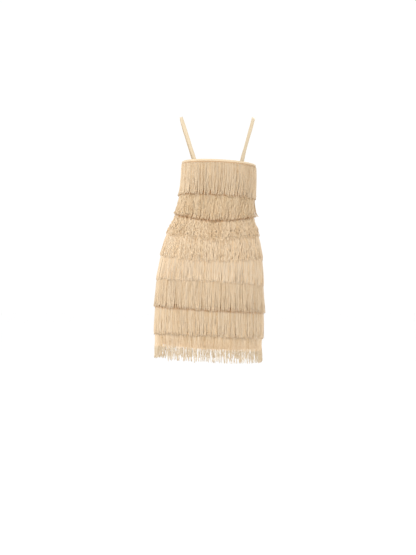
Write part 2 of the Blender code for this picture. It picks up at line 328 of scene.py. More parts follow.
def fringe_material(name, row, length, free=0.0):
    """Soft twisted rayon cord. Each cord reads one column of the map: its own tone, its twist and slow changes along it."""
    # A row's tone and pale are partly its own dye and partly painted light: rows that catch more light are made lighter
    # and paler.
    tone_base = times(FRINGE_TONE, row.tone)
    grey = sum(tone_base) / 3
    colour = tuple(c + (grey * 1.08 - c) * row.pale * 0.45 for c in tone_base)
    spread, turns = row.spread, 34.0
    made, tree, shader = new_material(name, 0.55, sheen=0.10, specular=0.34)
    uv = node(tree, "ShaderNodeUVMap", uv_map="OFBake")
    parts = node(tree, "ShaderNodeSeparateXYZ")
    tree.links.new(uv.outputs["UV"], parts.inputs[0])
    x, y = parts.outputs[0], parts.outputs[1]
    cell = maths(tree, "MULTIPLY", x, STRAND_COLUMNS / STRAND_BAND)
    which = maths(tree, "FLOOR", cell)
    across = maths(tree, "FRACT", cell)
    chance = node(tree, "ShaderNodeTexWhiteNoise", noise_dimensions="1D")
    tree.links.new(which, chance.inputs["W"])
    # The header tape, past the cords in the map, keeps one low tone. With the darkening below, this is painted shade
    # for the shaded line under the bound edge.
    taped = maths(tree, "GREATER_THAN", x, STRAND_BAND)
    tone = maths(tree, "MULTIPLY_ADD", maths(tree, "SUBTRACT", 0.10, chance.outputs["Value"]), taped, chance.outputs["Value"])
    # Slow and quicker changes along the cord.
    changes = []
    for stretch, step in ((5.0, 3.7), (15.0, 5.3)):
        place = node(tree, "ShaderNodeCombineXYZ")
        tree.links.new(maths(tree, "MULTIPLY", which, step), place.inputs[0])
        tree.links.new(maths(tree, "MULTIPLY", y, stretch), place.inputs[1])
        slow = node(tree, "ShaderNodeTexNoise", noise_dimensions="2D")
        slow.inputs["Scale"].default_value = 1.0
        slow.inputs["Detail"].default_value = 1.0
        tree.links.new(place.outputs[0], slow.inputs["Vector"])
        changes.append(slow.outputs["Fac"])
    # The twist: a helix of grooves round the cord. It sets the bump, and it also darkens the colour a little in the
    # grooves, which is painted shade.
    phase = maths(tree, "ADD", maths(tree, "MULTIPLY", y, turns), across)
    wave = maths(tree, "SINE", maths(tree, "MULTIPLY", phase, 2 * math.pi))
    twist_and_groove_shade = maths(tree, "MULTIPLY_ADD", wave, 0.5, 0.5)
    mixed = maths(tree, "MULTIPLY", tone, 0.38)
    mixed = maths(tree, "MULTIPLY_ADD", changes[0], 0.36, mixed)
    mixed = maths(tree, "MULTIPLY_ADD", changes[1], 0.46, mixed)
    # Painted shade in the twist's grooves.
    mixed = maths(tree, "MULTIPLY_ADD", twist_and_groove_shade, 0.08, mixed)
    warm = (colour[0], colour[1] * 0.84, colour[2] * 0.58)
    shade = ramp(
        tree,
        mixed,
        [
            (0.22, times(warm, 1 - spread)),
            (0.48, times((colour[0], colour[1] * 0.97, colour[2] * 0.90), 1 - spread * 0.22)),
            (0.66, times((colour[0] * 0.99, colour[1] * 1.01, colour[2] * 1.02), 1.0)),
            (0.98, times((colour[0] * 0.97, colour[1] * 1.03, colour[2] * 1.12), 1 + spread * 0.5)),
        ],
    )
    # Painted shade: the cords are darkened towards brown just below the row above, where its tips shade them. The
    # header tape is darkened the same way.
    root = node(tree, "ShaderNodeMapRange", interpolation_type="SMOOTHSTEP")
    tree.links.new(y, root.inputs["Value"])
    root.inputs["From Min"].default_value = 0.93 - 0.9 * (OVERLAP + 0.0080) / length
    root.inputs["From Max"].default_value = 0.93 - 0.9 * (OVERLAP - 0.0010) / length
    root.inputs["To Max"].default_value = row.root
    painted_shade_mix = node(tree, "ShaderNodeMix", data_type="RGBA", blend_type="MULTIPLY")
    patchy = maths(tree, "MINIMUM", maths(tree, "MULTIPLY_ADD", chance.outputs["Value"], -0.95, 1.40), 1.0)
    shade_below_row_above = maths(tree, "MULTIPLY", root.outputs["Result"], patchy)
    painted_shade = maths(tree, "MAXIMUM", shade_below_row_above, maths(tree, "MULTIPLY", taped, 0.55))
    tree.links.new(painted_shade, painted_shade_mix.inputs["Factor"])
    tree.links.new(shade, painted_shade_mix.inputs["A"])
    # Warm brown that the painted shade darkens towards.
    painted_shade_mix.inputs["B"].default_value = (0.64, 0.41, 0.22, 1.0)
    finished = painted_shade_mix.outputs["Result"]
    if free:
        # Below the hem, where the cords hang free, their colour is made a little darker.
        ends = node(tree, "ShaderNodeMapRange", interpolation_type="SMOOTHSTEP")
        tree.links.new(y, ends.inputs["Value"])
        ends.inputs["From Min"].default_value = 0.03 + 0.9 * free / length
        ends.inputs["From Max"].default_value = 0.03 + 0.9 * (free - 0.006) / length
        dull = node(tree, "ShaderNodeMix", data_type="RGBA", blend_type="MULTIPLY")
        tree.links.new(ends.outputs["Result"], dull.inputs["Factor"])
        tree.links.new(finished, dull.inputs["A"])
        dull.inputs["B"].default_value = (0.86, 0.89, 0.91, 1.0)
        finished = dull.outputs["Result"]
    tree.links.new(finished, shader.inputs["Base Color"])
    bump = node(tree, "ShaderNodeBump")
    bump.inputs["Strength"].default_value = 0.5
    bump.inputs["Distance"].default_value = 0.0004
    tree.links.new(twist_and_groove_shade, bump.inputs["Height"])
    tree.links.new(bump.outputs["Normal"], shader.inputs["Normal"])
    return made


def knit_material(name, colour, size, rib=0.0011, spread=0.10, sheen=0.10, rough=0.72):
    """Fine knit. size is the width and height of cloth that the map covers, in metres."""
    made, tree, shader = new_material(name, rough, sheen=sheen, specular=0.25)
    uv = node(tree, "ShaderNodeUVMap", uv_map="OFBake")
    parts = node(tree, "ShaderNodeSeparateXYZ")
    tree.links.new(uv.outputs["UV"], parts.inputs[0])
    across = maths(tree, "MULTIPLY", parts.outputs[0], size[0])
    along = maths(tree, "MULTIPLY", parts.outputs[1], size[1])
    place = node(tree, "ShaderNodeCombineXYZ")
    tree.links.new(across, place.inputs[0])
    tree.links.new(along, place.inputs[1])
    # Wales and courses of the knit.
    wale = maths(tree, "SINE", maths(tree, "MULTIPLY", across, 2 * math.pi / rib))
    course = maths(tree, "SINE", maths(tree, "MULTIPLY", along, 2 * math.pi / (rib * 1.25)))
    loops = maths(tree, "MULTIPLY_ADD", maths(tree, "MULTIPLY", wale, course), 0.5, 0.5)
    blotch = node(tree, "ShaderNodeTexNoise", noise_dimensions="2D")
    blotch.inputs["Scale"].default_value = 34.0
    blotch.inputs["Detail"].default_value = 4.0
    tree.links.new(place.outputs[0], blotch.inputs["Vector"])
    fibre = node(tree, "ShaderNodeTexNoise", noise_dimensions="2D")
    fibre.inputs["Scale"].default_value = 900.0
    fibre.inputs["Detail"].default_value = 2.0
    tree.links.new(place.outputs[0], fibre.inputs["Vector"])
    mixed = maths(tree, "MULTIPLY_ADD", blotch.outputs["Fac"], 0.5, maths(tree, "MULTIPLY", loops, 0.22))
    mixed = maths(tree, "MULTIPLY_ADD", fibre.outputs["Fac"], 0.28, mixed)
    shade = ramp(
        tree,
        mixed,
        [
            (0.15, times((colour[0], colour[1] * 0.95, colour[2] * 0.88), 1 - spread)),
            (0.50, colour),
            (0.85, times(colour, 1 + spread * 0.6)),
        ],
    )
    tree.links.new(shade, shader.inputs["Base Color"])
    height = maths(tree, "MULTIPLY_ADD", fibre.outputs["Fac"], 0.5, loops)
    bump = node(tree, "ShaderNodeBump")
    bump.inputs["Strength"].default_value = 0.4
    bump.inputs["Distance"].default_value = 0.0003
    tree.links.new(height, bump.inputs["Height"])
    tree.links.new(bump.outputs["Normal"], shader.inputs["Normal"])
    return made


def adopt(piece, slot, *nodes):
    if nodes:
        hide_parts(*nodes)
    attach(piece, "root")
    return piece


# ------------------------------------------------------------------ fringe
FRINGE_TONE = linear(214, 190, 159)
# How each row hangs. spacing of its cords, radius, sides and steps of a cord's tube. clump: how far
# the tips gather, clump_width apart. scallop: how much shorter the cords are between two clumps.
# wave and turns: sideways wave of a cord and how many it has. uneven: of the tips. stray: share of
# cords that wander. lean: how far the tips are combed towards the middle. start and lift: how far
# the cords stand off the cloth at the header and at the tips. tone and pale: colour beside the
# others, partly the row's own dye and partly painted light: rows that catch more light are made
# lighter and paler. spread: light and dark between cords. root: painted shade just below the row
# above, where its tips shade the cords. tuft: how far neighbours bunch out and in together, and
# tuft_width how wide those places are. same: how many neighbours are dyed alike, as a looped fringe's are.
Row = namedtuple(
    "Row",
    "spacing radius sides steps clump clump_width scallop wave turns uneven stray lean start lift tone pale spread root tuft tuft_width same",
)
ROWS = [
    Row(0.00205, 0.00088, 4, 16, 0.46, 0.0062, 0.0024, 0.0006, 1.6, 0.0040, 0.020, 0.000, 0.0012, 0.0076, 1.015, 0.00, 0.17, 0.00, 0.0004, 0.008, 1),
    Row(0.00195, 0.00086, 4, 15, 0.60, 0.0060, 0.0030, 0.0010, 1.8, 0.0036, 0.040, 0.003, 0.0012, 0.0088, 1.00, -0.22, 0.29, 0.76, 0.0011, 0.007, 2),
    Row(0.00210, 0.00084, 4, 22, 0.30, 0.0080, 0.0018, 0.0023, 3.8, 0.0066, 0.100, 0.012, 0.0012, 0.0040, 1.12, -0.10, 0.32, 0.78, 0.0020, 0.0058, 3),
    Row(0.00205, 0.00084, 4, 16, 0.28, 0.0080, 0.0018, 0.0014, 2.8, 0.0056, 0.060, 0.009, 0.0024, 0.0040, 1.14, 0.04, 0.12, 0.00, 0.0008, 0.0066, 1),
    Row(0.00190, 0.00086, 4, 10, 0.12, 0.0060, 0.0008, 0.0005, 1.2, 0.0036, 0.012, 0.002, 0.0026, 0.0038, 1.125, 0.16, 0.03, 0.00, 0.0002, 0.012, 1),
    Row(0.00195, 0.00088, 4, 12, 0.46, 0.0062, 0.0024, 0.0006, 1.6, 0.0038, 0.015, 0.000, 0.0024, 0.0066, 1.02, 0.00, 0.21, 0.10, 0.0004, 0.009, 1),
    Row(0.00195, 0.00088, 4, 12, 0.28, 0.0060, 0.0018, 0.0007, 1.6, 0.0036, 0.020, 0.000, 0.0012, 0.0044, 1.045, 0.00, 0.17, 0.62, 0.0004, 0.009, 2),
    Row(0.00205, 0.00083, 4, 14, 0.66, 0.0086, 0.0000, 0.0014, 2.2, 0.0036, 0.060, 0.000, 0.0011, 0.0036, 1.15, 0.00, 0.31, 0.00, 0.0006, 0.010, 2),
]
LAYERS = 2


def strand_tubes(rng, row, place, top, tip, off, sideways, radius, column):
    """Tubes along every cord at once. off and sideways are (cords, steps + 1), in metres."""
    count, SIDES, STEPS = len(place), row.sides, row.steps
    s = np.linspace(0, 1, STEPS + 1)[None, :]
    heights = top[:, None] + (tip - top)[:, None] * s
    around = place[:, None] + sideways / half_length(place[:, None], heights)
    centre, normal = on_cloth(around, heights, off)
    along = np.gradient(centre, axis=1)
    along /= np.linalg.norm(along, axis=-1, keepdims=True)
    e1 = np.cross(along, normal)
    e1 /= np.linalg.norm(e1, axis=-1, keepdims=True)
    e2 = np.cross(e1, along)
    turn = np.arange(SIDES) / SIDES * 2 * math.pi
    spin = rng.uniform(0, 2 * math.pi, count)[:, None] + turn[None, :]
    profile = np.interp(s[0], [0, 0.06, 0.93, 1.0], [0.75, 1.0, 1.0, 0.66])
    r = radius[:, None] * profile[None, :]
    ring = (
        e1[:, :, None, :] * np.cos(spin)[:, None, :, None]
        + e2[:, :, None, :] * np.sin(spin)[:, None, :, None]
    ) * r[:, :, None, None]
    co = centre[:, :, None, :] + ring
    index = np.arange(count * (STEPS + 1) * SIDES).reshape(count, STEPS + 1, SIDES)
    nxt = np.roll(index, -1, axis=2)
    quads = np.stack([index[:, :-1], nxt[:, :-1], nxt[:, 1:], index[:, 1:]], -1).reshape(-1, 4)
    caps = np.concatenate([index[:, 0, ::-1], index[:, -1, :]])
    wide = STRAND_BAND / STRAND_COLUMNS
    x0 = column[:, None, None] * wide + wide * 0.06
    step = wide * 0.88 / SIDES
    a = np.arange(SIDES)[None, None, :]
    v0 = (0.03 + 0.90 * (1 - s[0]))[None, :, None]
    left = np.broadcast_to(x0 + a * step, (count, STEPS, SIDES))
    right = left + step
    upper = np.broadcast_to(v0[:, :-1], left.shape)
    lower = np.broadcast_to(v0[:, 1:], left.shape)
    quad_uv = np.stack(
        [
            np.stack([left, upper], -1),
            np.stack([right, upper], -1),
            np.stack([right, lower], -1),
            np.stack([left, lower], -1),
        ],
        3,
    )
    fan = np.stack([np.cos(turn) * 0.36, np.sin(turn) * 0.36], -1)
    centre_x = column * wide + wide * 0.5
    top_uv = np.stack(
        [centre_x[:, None] + fan[None, ::-1, 0] * wide, np.broadcast_to(0.965 + fan[::-1, 1] * 0.03, (count, SIDES))],
        -1,
    )
    tip_uv = np.stack(
        [centre_x[:, None] + fan[None, :, 0] * wide, np.broadcast_to(0.014 + fan[:, 1] * 0.02, (count, SIDES))],
        -1,
    )
    return co.reshape(-1, 3), quads, quad_uv, caps, np.concatenate([top_uv, tip_uv])


def noise_line(rng, count, length, scale):
    """Smooth noise round a closed line: one value for each place in 0 to 1."""
    knots = max(4, int(round(length / scale)))
    values = rng.normal(0, 1, knots)

    def at(t):
        f = np.mod(t, 1.0) * knots
        i = np.floor(f).astype(int) % knots
        w = f - np.floor(f)
        w = w * w * (3 - 2 * w)
        return values[i] * (1 - w) + values[(i + 1) % knots] * w

    return at


def noise_patches(rng, girth, cell, tall=0.2):
    """Smooth noise over the cloth: a function of place from 0 to 1 and depth below the header."""
    wide, high = max(4, int(round(girth / cell))), int(tall / cell) + 3
    values = rng.normal(0, 1, (wide, high))

    def at(t, depth):
        f, g = np.mod(t, 1.0) * wide, np.clip(depth / cell + 1, 0, high - 1.001)
        i, j = np.floor(f).astype(int) % wide, np.floor(g).astype(int)
        a, b = f - np.floor(f), g - np.floor(g)
        a, b = a * a * (3 - 2 * a), b * b * (3 - 2 * b)
        right = (i + 1) % wide
        return (values[i, j] * (1 - a) + values[right, j] * a) * (1 - b) + (
            values[i, j + 1] * (1 - a) + values[right, j + 1] * a
        ) * b

    return at


def fringe_piece(k):
    row = ROWS[k]
    rng = np.random.default_rng(7100 + k)
    header, tips = HEADERS[k], TIPS[k]
    last = k == len(TIPS) - 1
    next_header = HEM if last else HEADERS[k + 1]
    middle_height = (header.side + tips.side) / 2
    girth = even_places(10, middle_height)[1]
    clumps = int(girth / row.clump_width)
    cell = girth / clumps
    lean_of = rng.normal(0, 0.16, clumps + 1) * cell          # where each clump's tip hangs
    drop_of = rng.normal(0, 0.5, clumps + 1) * row.uneven * 0.8  # and how low
    bunch_out = noise_patches(rng, girth, row.tuft_width)
    bunch_side = noise_patches(rng, girth, row.tuft_width * 1.1)
    all_co, all_quads, all_quv, all_caps, all_cuv = [], [], [], [], []
    base = 0
    for layer in range(1 if last else LAYERS):
        count = int(girth / row.spacing)
        place, girth = even_places(count, middle_height, phase=0.25 + 0.5 * layer)
        place = place + rng.normal(0, 0.20, count) * row.spacing / (girth / 2)
        metre = np.mod(place, 2.0) / 2.0
        patch = noise_line(rng, count, girth, 0.034)(metre)
        top = level(header, place) + (0.0015 if k else -0.0012)
        tip = level(tips, place) + row.uneven * (0.35 * patch + 0.30 * rng.normal(0, 1, count))
        short = rng.uniform(size=count) < 0.03
        tip = tip + short * rng.uniform(0.003, 0.014, count)
        # Clumps: tips lean towards the middle of their clump, and hang lower there.
        where = metre * girth / cell
        mine = np.minimum(np.floor(where).astype(int), clumps - 1)
        from_middle = where - mine - 0.5
        tip = tip + row.scallop * np.abs(2 * from_middle) ** 1.5 + drop_of[mine]
        if layer:
            tip = tip + 0.0020
        s = np.linspace(0, 1, row.steps + 1)[None, :]
        # Off the cloth: it clears the next row's header and keeps its tips proud.
        over = (level(header, place) - level(next_header, place)) / (top - tip)
        over = np.clip(over, 0.2, 0.93)[:, None]
        if last:
            off = np.where(s < over, 0.0011 + 0.0005 * s / over, 0.0016 + (row.lift - 0.0016) * (s - over) / (1 - over))
        else:
            reach = 0.0038
            off = np.where(
                s < over,
                row.start + (reach - row.start) * (s / over) ** 1.3,
                reach + (row.lift - 0.0010 - reach) * (s - over) / (1 - over),
            )
        off = off + (0.0010 if layer == 0 and not last else 0.0)
        off = off + np.abs(rng.normal(0, 0.0004, count))[:, None] * (0.3 + s)
        gather = np.clip(s * 1.25 - 0.25, 0, 1) ** 1.6
        pull = (-from_middle * cell * row.clump + lean_of[mine])[:, None] * gather
        # Slow sway in patches, and each cord's own wave.
        sway = noise_line(rng, count, girth, 0.05)(metre)[:, None] * 0.0012 * s**1.5
        freq = row.turns * rng.uniform(0.6, 1.4, count)[:, None]
        phase = rng.uniform(0, 6.28, count)[:, None]
        wave = row.wave * rng.uniform(0.4, 1.3, count)[:, None] * np.sin(6.28 * freq * s + phase) * np.clip(0.25 + 1.2 * s, 0, 1.1)
        bend = rng.normal(0, row.wave * 0.8, count)[:, None] * s**2
        # Mussed rows are combed towards the middle of the back and front.
        to_middle = np.sin(2 * np.pi * place)[:, None] * row.lean * s**1.4
        sideways = pull + sway + wave + bend + to_middle
        wander = rng.uniform(size=count) < row.stray
        sideways = sideways + (wander * rng.normal(0, 0.0055, count))[:, None] * s**1.6
        off = off + (wander * rng.uniform(0.0005, 0.0035, count))[:, None] * s**1.5
        off = off + row.wave * 0.45 * (1 + np.sin(6.28 * freq * 0.83 * s + phase * 1.7)) * s
        depth = (top - tip)[:, None] * s
        grown = np.clip(depth / 0.020, 0, 1)
        off = off + row.tuft * 0.55 * np.clip(bunch_out(metre[:, None], depth) + 0.5, -0.5, 2.5) * grown
        sideways = sideways + row.tuft * 0.9 * bunch_side(metre[:, None], depth) * grown
        if k == 1 and layer == 0:
            # Wisps at the dress's right side stand clear of the row.
            loose = (np.abs(place - 1.02) < 0.075) & (rng.uniform(size=count) < 0.42)
            off = off + (loose * rng.uniform(0.002, 0.011, count))[:, None] * s**1.3
            sideways = sideways + (loose * rng.normal(0, 0.005, count))[:, None] * np.sin(3.0 * s + phase)
        radius = row.radius * rng.uniform(0.90, 1.10, count)
        column = rng.integers(0, STRAND_COLUMNS, count // row.same + 1).repeat(row.same)[:count]
        co, quads, quv, caps, cuv = strand_tubes(rng, row, place, top, tip, off, sideways, radius, column)
        all_co.append(co)
        all_quads.append(quads + base)
        all_caps.append(caps + base)
        all_quv.append(quv)
        all_cuv.append(cuv)
        base += len(co)
    # The woven header tape that the cords hang from.
    around = 300
    places = np.arange(around) / around * 2.0
    top = level(header, places)
    tape = []
    # On the first row the tape shows as a narrow sunk line below the bound edge.
    face, tall = (0.0022, 0.0073) if k else (0.0013, 0.0052)
    start = 0.0020
    for out, drop in ((0.0006, 0.0), (face, 0.0004), (face, tall), (0.0006, tall + 0.0004)):
        tape.append(on_cloth(places, top + start - drop, out)[0])
    tape.append(tape[0])
    tape = np.stack(tape)
    quads = wrap_grid(tape[:4], closed_u=True)
    closing = np.stack(
        [
            np.arange(around) + 3 * around,
            np.arange(around),
            np.roll(np.arange(around), -1),
            np.roll(np.arange(around), -1) + 3 * around,
        ],
        -1,
    )
    quads = np.concatenate([quads, closing])[:, ::-1]
    rows = len(quads) // around
    left = STRAND_BAND + 0.006 + 0.048 * (np.arange(around) / around)
    right = left + 0.048 / around
    tape_uv = np.zeros((rows, around, 4, 2))
    for r in range(rows):
        lo, hi = 0.04 + 0.9 * r / rows, 0.04 + 0.9 * (r + 1) / rows
        tape_uv[r, :, 0] = np.stack([right, np.full(around, lo)], -1)
        tape_uv[r, :, 1] = np.stack([right, np.full(around, hi)], -1)
        tape_uv[r, :, 2] = np.stack([left, np.full(around, hi)], -1)
        tape_uv[r, :, 3] = np.stack([left, np.full(around, lo)], -1)
    all_co.append(tape[:4].reshape(-1, 3))
    faces = [np.concatenate(all_quads + [quads + base]), np.concatenate(all_caps)]
    uvs = [np.concatenate([q.reshape(-1, 2) for q in all_quv] + [tape_uv.reshape(-1, 2)]), np.concatenate([c.reshape(-1, 2) for c in all_cuv])]
    name = f"fringe_row_{k + 1}" if k < 7 else "fringe_row_hem"
    piece = build_mesh(name, np.concatenate(all_co), faces, uvs)
    free = HEM.back - tips.back if last else 0.0
    piece.data.materials.append(fringe_material(name + "_cord", row, header.back - tips.back, free))
    cad = f"fringe_tier_{k + 1}" if k < 7 else "fringe_hem"
    return adopt(piece, "fringe", cad)


# ------------------------------------------------------------------ underdress
CLOTH_TONE = linear(226, 201, 166)


def panel_piece(name, cad, start):
    """One panel: outer and inner faces and turned edges, seam to seam and top edge to hem."""
    across, down = 84, 100
    edge = SEAM / 2 / 0.34
    u = start + np.concatenate([[edge], np.linspace(0, 1, across + 1)[1:-1], [1 - edge]])
    top, hem = level(TOP_EDGE, u), level(HEM, u)
    t = np.linspace(0, 1, down + 1)
    t = np.sort(np.concatenate([t, [1 - d / 0.635 for d in (0.0008, 0.0016, 0.0026, 0.0038, 0.0139, 0.0141)]]))[:, None]
    heights = top[None, :] + (hem - top)[None, :] * t
    wall = 0.0011
    outer, normal = on_cloth(u[None, :], heights)
    inner = outer - normal * wall
    # A narrow hem turned up inside stands a little proud, and its edge is a soft roll.
    rise = heights - hem[None, :]
    inner = inner - normal * ((rise < 0.014) * 0.0006)[..., None]
    outer = outer + normal * (0.0011 * np.exp(-((rise / 0.0028) ** 2)))[..., None]
    rows, cols = heights.shape
    grid = np.concatenate([outer, inner[::-1]])
    quads = wrap_grid(grid)
    quads = quads.reshape(2 * rows - 1, cols - 1, 4)
    # Close the top edge and both side seams.
    index = np.arange(2 * rows * cols).reshape(2 * rows, cols)
    close_top = np.stack([index[-1, :-1], index[0, :-1], index[0, 1:], index[-1, 1:]], -1)
    sides = []
    for c, flip in ((0, False), (cols - 1, True)):
        a, b = index[: rows - 1, c], index[1:rows, c]
        a2, b2 = index[2 * rows - 1 : rows : -1, c], index[2 * rows - 2 : rows - 1 : -1, c]
        quad = np.stack([a, a2, b2, b], -1)
        sides.append(quad[:, ::-1] if flip else quad)
    sheet_u = (np.arange(cols) / (cols - 1))
    sheet_v = 1 - np.arange(rows) / (rows - 1)
    v_all = np.concatenate([sheet_v, sheet_v[::-1]])
    x0, x1 = 0.01 + 0.98 * sheet_u[:-1], 0.01 + 0.98 * sheet_u[1:]
    quv = np.zeros((2 * rows - 1, cols - 1, 4, 2))
    va, vb = 0.01 + 0.98 * v_all[:-1], 0.01 + 0.98 * v_all[1:]
    same = np.abs(va - vb) < 1e-9
    vb = np.where(same, va + 0.002, vb)
    quv[..., 0, 0] = x0; quv[..., 0, 1] = va[:, None]
    quv[..., 1, 0] = x0; quv[..., 1, 1] = vb[:, None]
    quv[..., 2, 0] = x1; quv[..., 2, 1] = vb[:, None]
    quv[..., 3, 0] = x1; quv[..., 3, 1] = va[:, None]
    top_uv = np.stack(
        [np.stack([x0, np.full(cols - 1, 0.992)], -1), np.stack([x0, np.full(cols - 1, 0.988)], -1),
         np.stack([x1, np.full(cols - 1, 0.988)], -1), np.stack([x1, np.full(cols - 1, 0.992)], -1)], 1)
    side_uv = []
    for c, flip in ((0, False), (1, True)):
        xa = 0.004 if c == 0 else 0.992
        n = rows - 1
        va2, vb2 = 0.01 + 0.98 * sheet_v[:-1], 0.01 + 0.98 * sheet_v[1:]
        quad = np.stack([np.stack([np.full(n, xa), va2], -1), np.stack([np.full(n, xa + 0.004), va2], -1),
                         np.stack([np.full(n, xa + 0.004), vb2], -1), np.stack([np.full(n, xa), vb2], -1)], 1)
        side_uv.append(quad[:, ::-1] if flip else quad)
    faces = [np.concatenate([quads.reshape(-1, 4), close_top, *sides])]
    uvs = [np.concatenate([quv.reshape(-1, 2), top_uv.reshape(-1, 2), *[s.reshape(-1, 2) for s in side_uv]])]
    piece = build_mesh(name, grid.reshape(-1, 3), faces, uvs)
    piece.data.materials.append(knit_material(name + "_knit", CLOTH_TONE, (0.50, 0.64)))
    return adopt(piece, "underdress", cad), outer


def binding_piece(name, cad, start):
    """Satin tape folded over the top edge and stitched down, with a rounded fold."""
    across = 200
    edge = SEAM / 2 / 0.34
    u = start + np.linspace(edge, 1 - edge, across)
    top = level(TOP_EDGE, u)
    pucker = 0.00018 * np.sin(u * 330) + 0.00012 * np.sin(u * 517 + 1)
    # Section of the fold: out from the cloth's face, and height above the top edge.
    section = [
        (0.0003, -0.0056), (0.0011, -0.0059), (0.0016, -0.0052), (0.0017, -0.0035), (0.0018, -0.0018),
        (0.0016, -0.0002), (0.0010, 0.0009), (-0.0001, 0.0015), (-0.0014, 0.0015), (-0.0025, 0.0009),
        (-0.0030, -0.0002), (-0.0031, -0.0020), (-0.0030, -0.0040), (-0.0029, -0.0054), (-0.0024, -0.0058),
        (-0.0018, -0.0055), (-0.0018, -0.0020), (-0.0017, -0.0001), (-0.0008, 0.0004), (0.0002, -0.0001), (0.0003, -0.0020),
    ]
    points = []
    for out, rise in section:
        at = top + rise
        swell = pucker * (1.0 if out > 0.0008 else 0.3)
        base, _ = on_cloth(u, at, out + swell)
        points.append(base)
    grid = np.stack(points)
    rows, cols = grid.shape[:2]
    index = np.arange(rows * cols).reshape(rows, cols)
    below = np.roll(index, -1, axis=0)
    quads = np.stack([index[:, :-1], below[:, :-1], below[:, 1:], index[:, 1:]], -1).reshape(-1, 4)[:, ::-1]
    ends = [index[:, 0][None, :], index[::-1, -1][None, :]]
    x = 0.01 + 0.98 * np.arange(cols) / (cols - 1)
    y = 0.02 + 0.93 * np.arange(rows + 1) / rows
    quv = np.zeros((rows, cols - 1, 4, 2))
    quv[..., 0, 0] = x[:-1]; quv[..., 0, 1] = y[:-1, None]
    quv[..., 1, 0] = x[:-1]; quv[..., 1, 1] = y[1:, None]
    quv[..., 2, 0] = x[1:]; quv[..., 2, 1] = y[1:, None]
    quv[..., 3, 0] = x[1:]; quv[..., 3, 1] = y[:-1, None]
    quv = quv[..., ::-1, :]
    ring = np.arange(rows) / rows * 2 * math.pi
    cap = np.stack([0.03 + 0.012 * np.cos(ring), 0.975 + 0.012 * np.sin(ring)], -1)
    piece = build_mesh(name, grid.reshape(-1, 3), [quads, np.concatenate(ends)], [quv.reshape(-1, 2), np.concatenate([cap, cap[::-1]])])
    piece.data.materials.append(knit_material(name + "_tape", TRIM_TONE, (0.40, 0.016), rib=0.0007, spread=0.07, sheen=0.2, rough=0.5))
    return adopt(piece, "trim", cad)


TRIM_TONE = linear(212, 191, 160)
STRAP_TONE = linear(203, 186, 158)
STITCH_TONE = linear(203, 183, 154)


def stitch_rows():
    """Short thread stitches along the foot of the bound edge, outside and inside, as one mesh."""
    rng = np.random.default_rng(55)
    places, girth = even_places(250, -0.16)
    bars = []
    for out, drop in ((0.0019, 0.0045), (-0.0032, 0.0045)):
        mid = level(TOP_EDGE, places) - drop
        a, n = on_cloth(places - 0.0021, mid, out)
        b, _ = on_cloth(places + 0.0021, mid, out)
        bars.append((a, b, n))
    # A blind row holds the turned hem, seen inside and out.
    places, girth = even_places(270, -0.78)
    for out in (0.0001, -0.0019):
        mid = level(HEM, places) + 0.0125
        a, n = on_cloth(places - 0.0019, mid, out)
        b, _ = on_cloth(places + 0.0019, mid, out)
        bars.append((a, b, n))
    return bars


def bars_mesh(name, bars, radius, colour):
    """Thin five-sided stitches between pairs of points, pointed at both ends."""
    cos, quads, caps, base, sides = [], [], [], 0, 5
    for a, b, n in bars:
        d = b - a
        d /= np.linalg.norm(d, axis=-1, keepdims=True)
        side = np.cross(d, n)
        n2 = np.cross(side, d)
        turn = np.arange(sides) / sides * 2 * math.pi
        ring = side[:, None, :] * np.cos(turn)[None, :, None] + n2[:, None, :] * np.sin(turn)[None, :, None] * 0.7
        stations = [(0.0, 0.35), (0.25, 1.0), (0.75, 1.0), (1.0, 0.35)]
        co = np.stack([a[:, None, :] * (1 - t) + b[:, None, :] * t + ring * radius * w for t, w in stations], 1)
        index = np.arange(co.shape[0] * 4 * sides).reshape(-1, 4, sides) + base
        nxt = np.roll(index, -1, axis=2)
        quads.append(np.stack([index[:, :-1], nxt[:, :-1], nxt[:, 1:], index[:, 1:]], -1).reshape(-1, 4))
        caps.append(np.concatenate([index[:, 0, ::-1], index[:, -1, :]]))
        cos.append(co.reshape(-1, 3))
        base += co.shape[0] * 4 * sides
    quads, caps = np.concatenate(quads), np.concatenate(caps)
    q = np.array([[0.1, 0.1], [0.3, 0.1], [0.3, 0.9], [0.1, 0.9]])
    quv = np.broadcast_to(q, (len(quads), 4, 2))
    h = np.stack([0.6 + 0.2 * np.cos(turn), 0.5 + 0.2 * np.sin(turn)], -1)
    cuv = np.broadcast_to(h, (len(caps), sides, 2))
    piece = build_mesh(name, np.concatenate(cos), [quads, caps], [quv, cuv])
    piece.data.materials.append(knit_material(name + "_thread", colour, (0.02, 0.02), rib=0.0006, rough=0.45, sheen=0.1))
    return piece


# ------------------------------------------------------------------ straps
StrapPoint = namedtuple("StrapPoint", "y height lean")
STRAP_PATH = [
    StrapPoint(0.0755, -0.125, 0.17),
    StrapPoint(0.0735, -0.092, 0.39),
    StrapPoint(0.0672, -0.058, 0.63),
    StrapPoint(0.0535, -0.028, 0.83),
    StrapPoint(0.0310, -0.0075, 0.96),
    StrapPoint(0.0000, 0.0000, 1.00),
    StrapPoint(-0.0325, -0.010, 0.95),
    StrapPoint(-0.0565, -0.034, 0.80),
    StrapPoint(-0.0735, -0.068, 0.57),
    StrapPoint(-0.0840, -0.104, 0.32),
    StrapPoint(-0.0880, -0.129, 0.15),
]
StrapEnds = namedtuple("StrapEnds", "node sign back_x front_x")
STRAPS = [
    StrapEnds("strap_left", 1.0, 0.0775, 0.0800),
    StrapEnds("strap_right", -1.0, -0.0838, -0.0820),
]
STRAP_WIDTH, STRAP_TAIL, SHOULDER_HALF_SPAN = 0.012, 0.014, 0.1247


